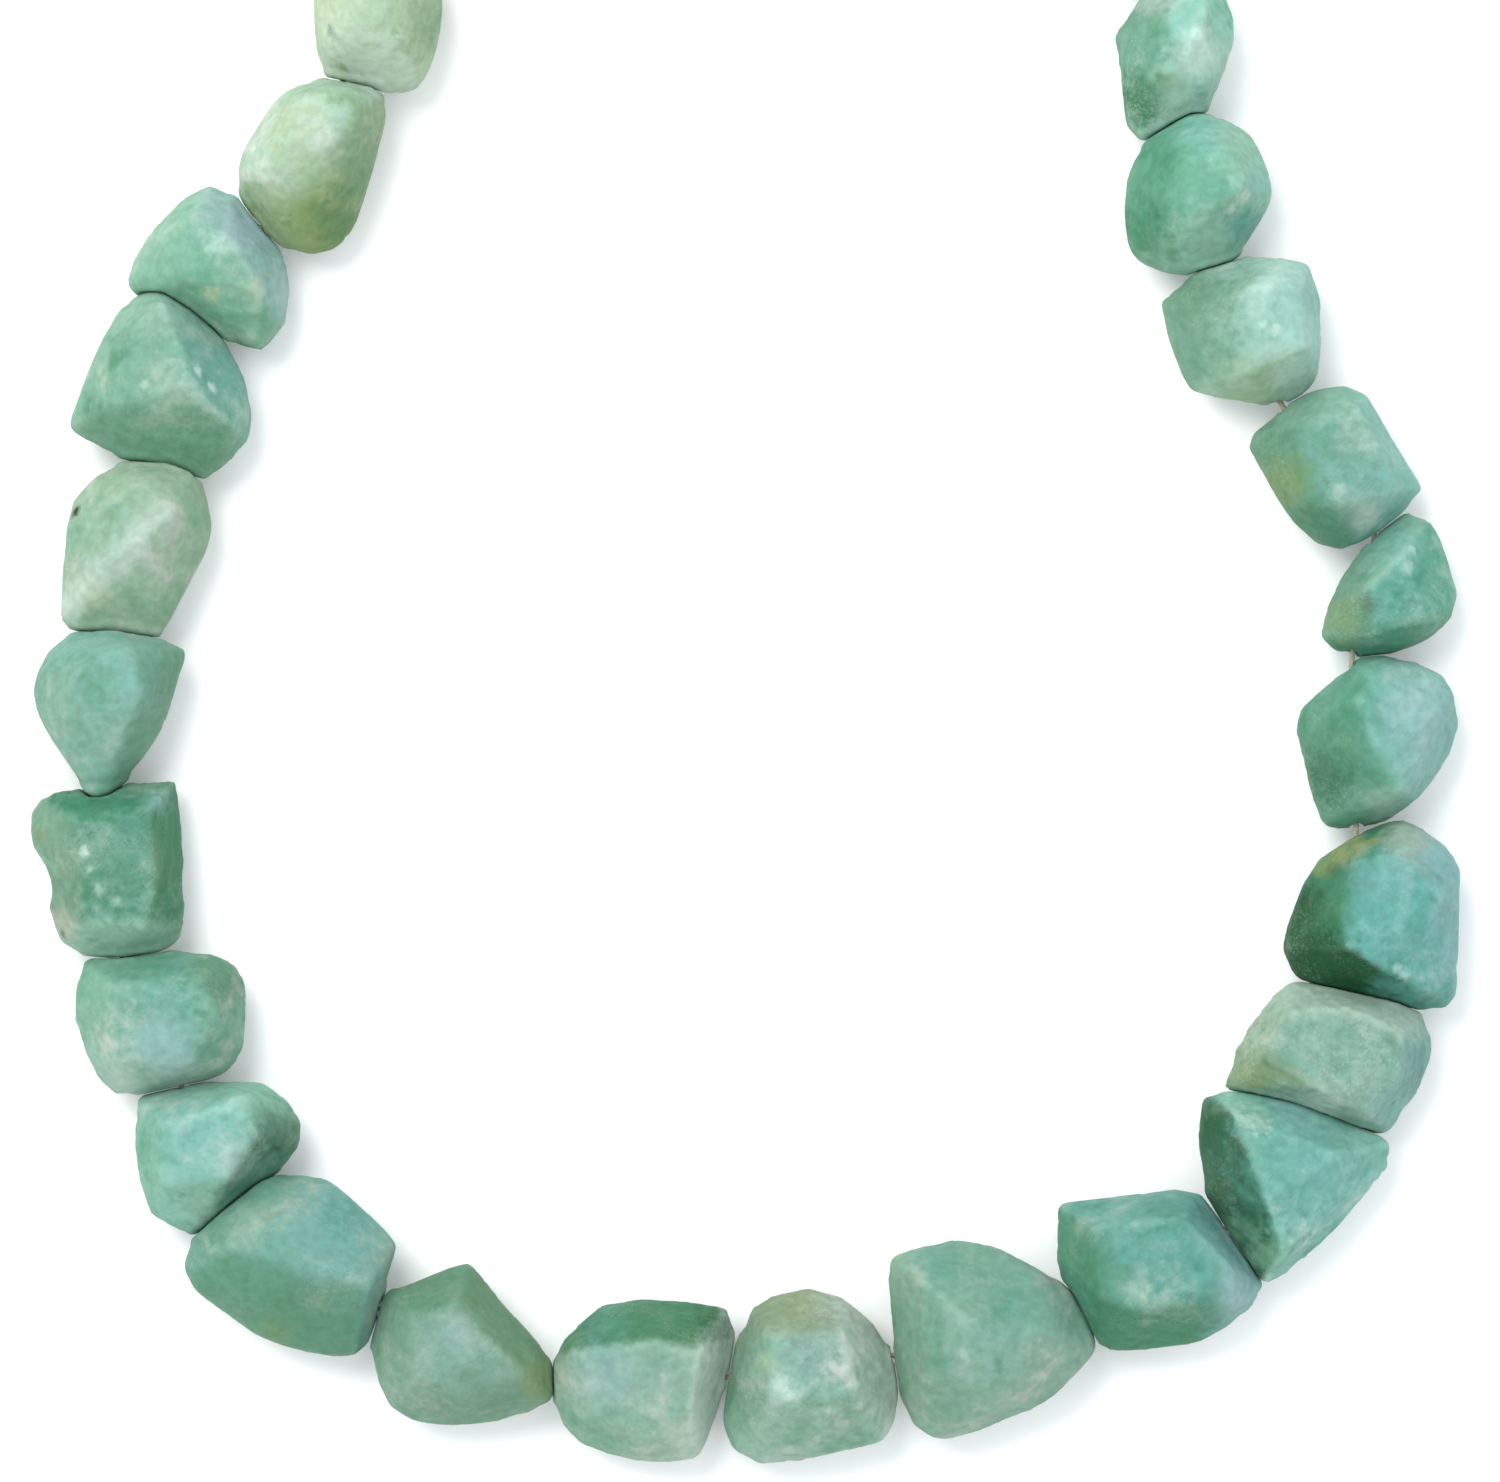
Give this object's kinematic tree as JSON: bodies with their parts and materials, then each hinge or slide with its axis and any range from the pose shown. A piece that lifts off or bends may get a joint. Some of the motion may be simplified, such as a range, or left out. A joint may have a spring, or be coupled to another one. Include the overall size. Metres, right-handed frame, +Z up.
{
  "type": "rough amazonite nugget strand",
  "caption": "Loop of rough, drilled amazonite nuggets in pale mint to teal, strung on a thin cream thread and laid flat.",
  "frame": {"origin": "on the surface that the stones rest on, under the middle of the laid loop's box", "axes": "+Z up, away from the surface; +Y from the wide lower end of the loop towards the knot; +X to the right of that, seen from above"},
  "size_m": [0.1194, 0.1484, 0.0126],
  "materials": {
    "pale_amazonite": "matte",
    "milky_amazonite": "matte",
    "sea_green_amazonite": "matte",
    "teal_amazonite": "matte",
    "cream_thread": "matte"
  },
  "bodies": {
    "root": {"stone_01": "pale_amazonite", "stone_02": "pale_amazonite", "stone_03": "sea_green_amazonite", "stone_04": "sea_green_amazonite", "stone_05": "milky_amazonite", "stone_06": "sea_green_amazonite", "stone_07": "teal_amazonite", "stone_08": "sea_green_amazonite", "stone_09": "sea_green_amazonite", "stone_10": "teal_amazonite", "stone_11": "sea_green_amazonite", "stone_12": "milky_amazonite", "stone_13": "milky_amazonite", "stone_14": "sea_green_amazonite", "stone_15": "teal_amazonite", "stone_16": "teal_amazonite", "stone_17": "milky_amazonite", "stone_18": "teal_amazonite", "stone_19": "sea_green_amazonite", "stone_20": "teal_amazonite", "stone_21": "sea_green_amazonite", "stone_22": "pale_amazonite", "stone_23": "teal_amazonite", "stone_24": "pale_amazonite", "stone_25": "sea_green_amazonite", "stone_26": "teal_amazonite", "stone_27": "milky_amazonite", "stone_28": "teal_amazonite", "stone_29": "milky_amazonite", "stone_30": "pale_amazonite", "thread": "cream_thread"}
  },
  "joints": []
}
